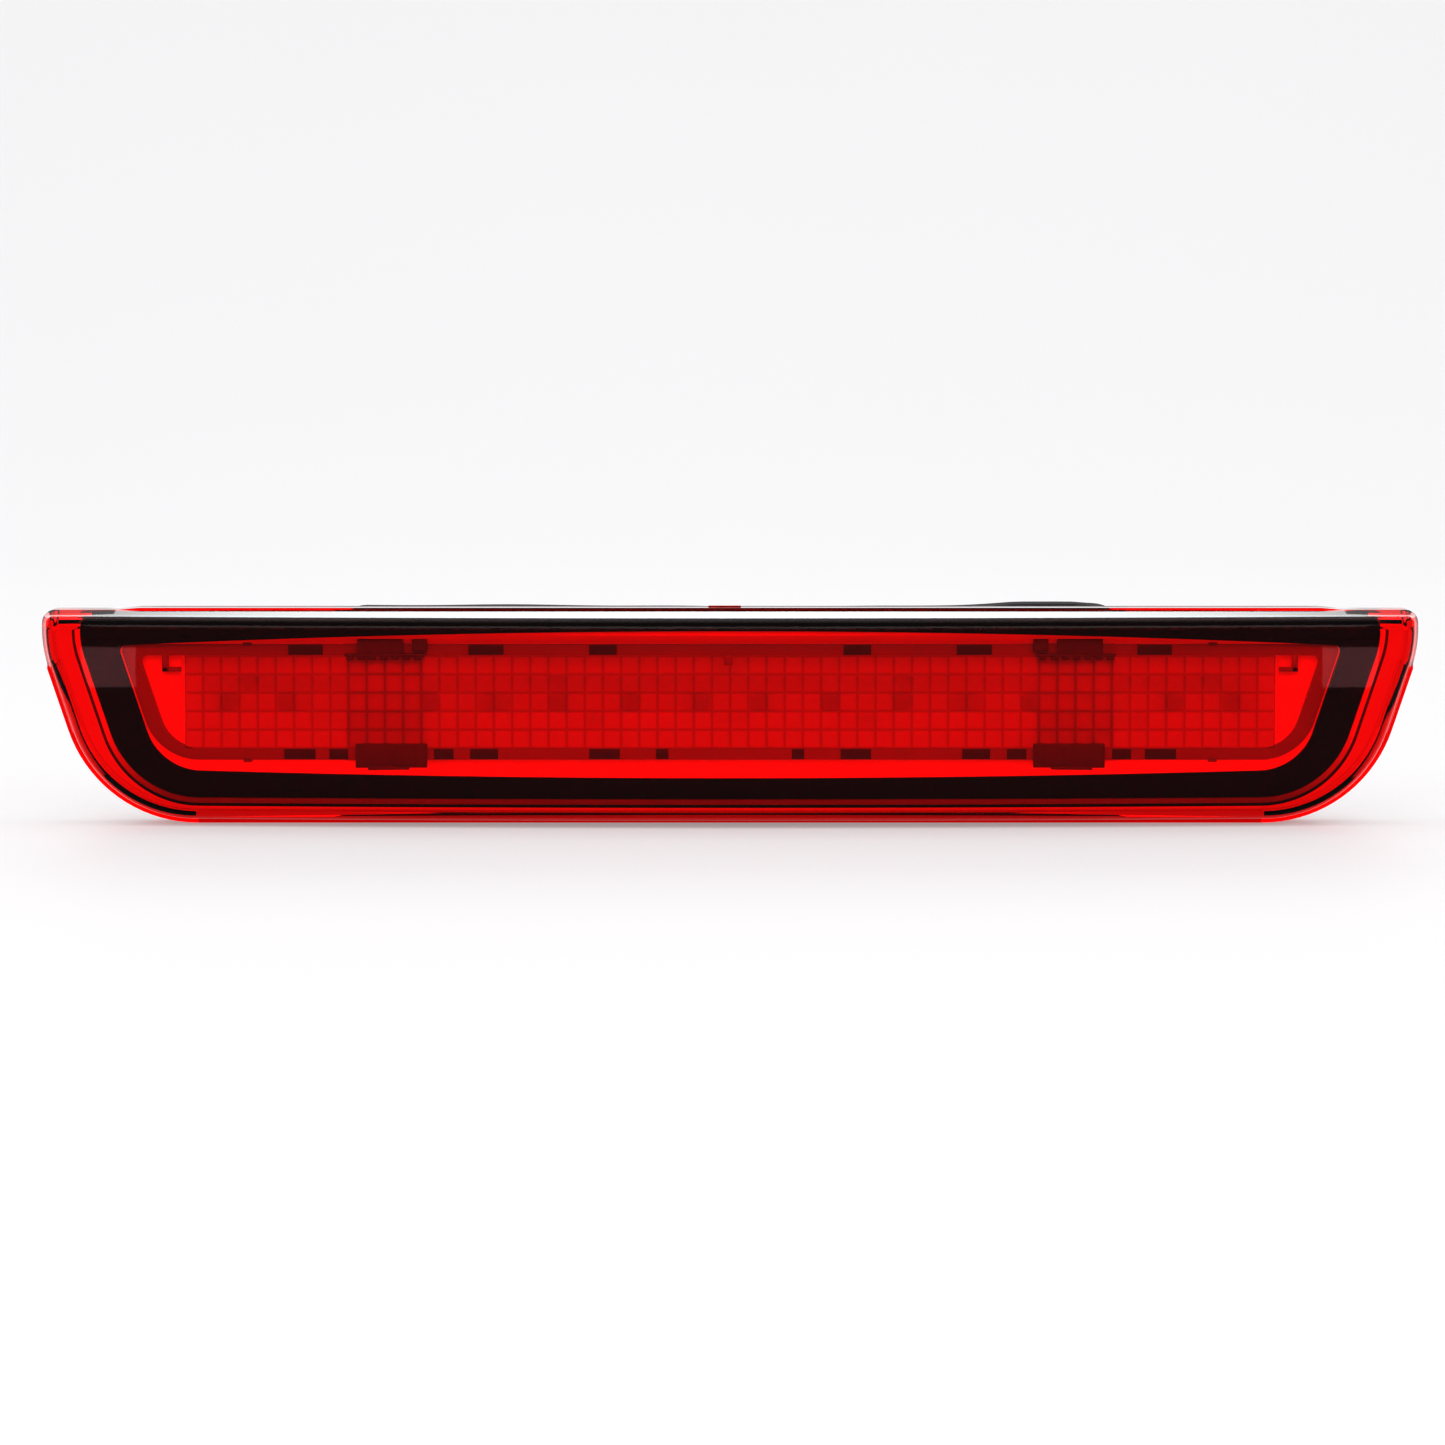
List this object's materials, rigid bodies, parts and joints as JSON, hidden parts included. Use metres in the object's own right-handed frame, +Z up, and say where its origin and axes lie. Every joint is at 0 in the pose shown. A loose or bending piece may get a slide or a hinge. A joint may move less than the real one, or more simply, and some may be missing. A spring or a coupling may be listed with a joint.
{
  "type": "third brake light",
  "caption": "Wide shallow stop lamp with a bowed red lens, black bezel, pillow optic, rear housing with foam seal, connector inlet and two sprung retaining clips.",
  "frame": {"origin": "middle of the box at the height of the lowest edge, where the lamp stands on its rear lip and lens bottom", "axes": "+X along the lamp to its right seen from the front, +Y from the lens towards the vehicle, +Z up"},
  "size_m": [0.38, 0.068, 0.0595],
  "materials": {
    "lens_red": "clear red moulded acrylic, polished",
    "bezel_black": "gloss black moulding",
    "optic_red": "clear red moulding with pillow cells",
    "reflector_bright": "bright white moulding, satin",
    "clip_black": "dark moulding",
    "board_white": "white solder mask with tin pads",
    "frame_grey": "grey moulding",
    "led_body": "white package with a clear dome",
    "chip_black": "moulded chip bodies",
    "header_cream": "natural nylon",
    "screw_steel": "zinc-plated steel",
    "lead_red": "vinyl insulation",
    "lead_black": "vinyl insulation",
    "housing_black": "fine-grained black moulding",
    "seal_grey": "cured sealant",
    "foam_black": "closed-cell foam",
    "spring_steel": "tempered spring steel",
    "pin_steel": "bright steel",
    "socket_black": "glass-filled nylon",
    "seal_orange": "silicone",
    "terminal_brass": "tinned brass",
    "membrane_white": "breathable film"
  },
  "bodies": {
    "lamp": {"outer_lens": "lens_red", "bezel": "bezel_black", "inner_optic": "optic_red", "optic_frame": "frame_grey", "reflector": "reflector_bright", "optic_clip_left": "clip_black", "optic_clip_right": "clip_black", "circuit_board": "board_white", "leds": "led_body", "resistors": "chip_black", "protection_diode": "chip_black", "board_header": "header_cream", "board_screws": "screw_steel", "lead_positive": "lead_red", "lead_negative": "lead_black", "rear_housing": "housing_black", "lens_seal": "seal_grey", "foam_gasket": "foam_black", "end_pads": "foam_black", "clip_pins": "pin_steel", "connector_socket": "socket_black", "connector_seal": "seal_orange", "connector_terminals": "terminal_brass", "connector_screws": "screw_steel", "vent_cap": "housing_black", "vent_membrane": "membrane_white"},
    "left_clip": {"spring_clip_left": "spring_steel"},
    "right_clip": {"spring_clip_right": "spring_steel"}
  },
  "joints": [
    {"name": "left_clip_flex", "type": "hinge", "parent": "lamp", "child": "left_clip", "pos_m": [-0.097, 0.0305, 0.03395], "axis": [0, 0, 1], "range_deg": [0, 10], "stiffness_Nm_per_rad": 0.6, "springref_deg": -5.73},
    {"name": "right_clip_flex", "type": "hinge", "parent": "lamp", "child": "right_clip", "pos_m": [0.097, 0.0305, 0.03395], "axis": [0, 0, -1], "range_deg": [0, 10], "stiffness_Nm_per_rad": 0.6, "springref_deg": -5.73}
  ]
}
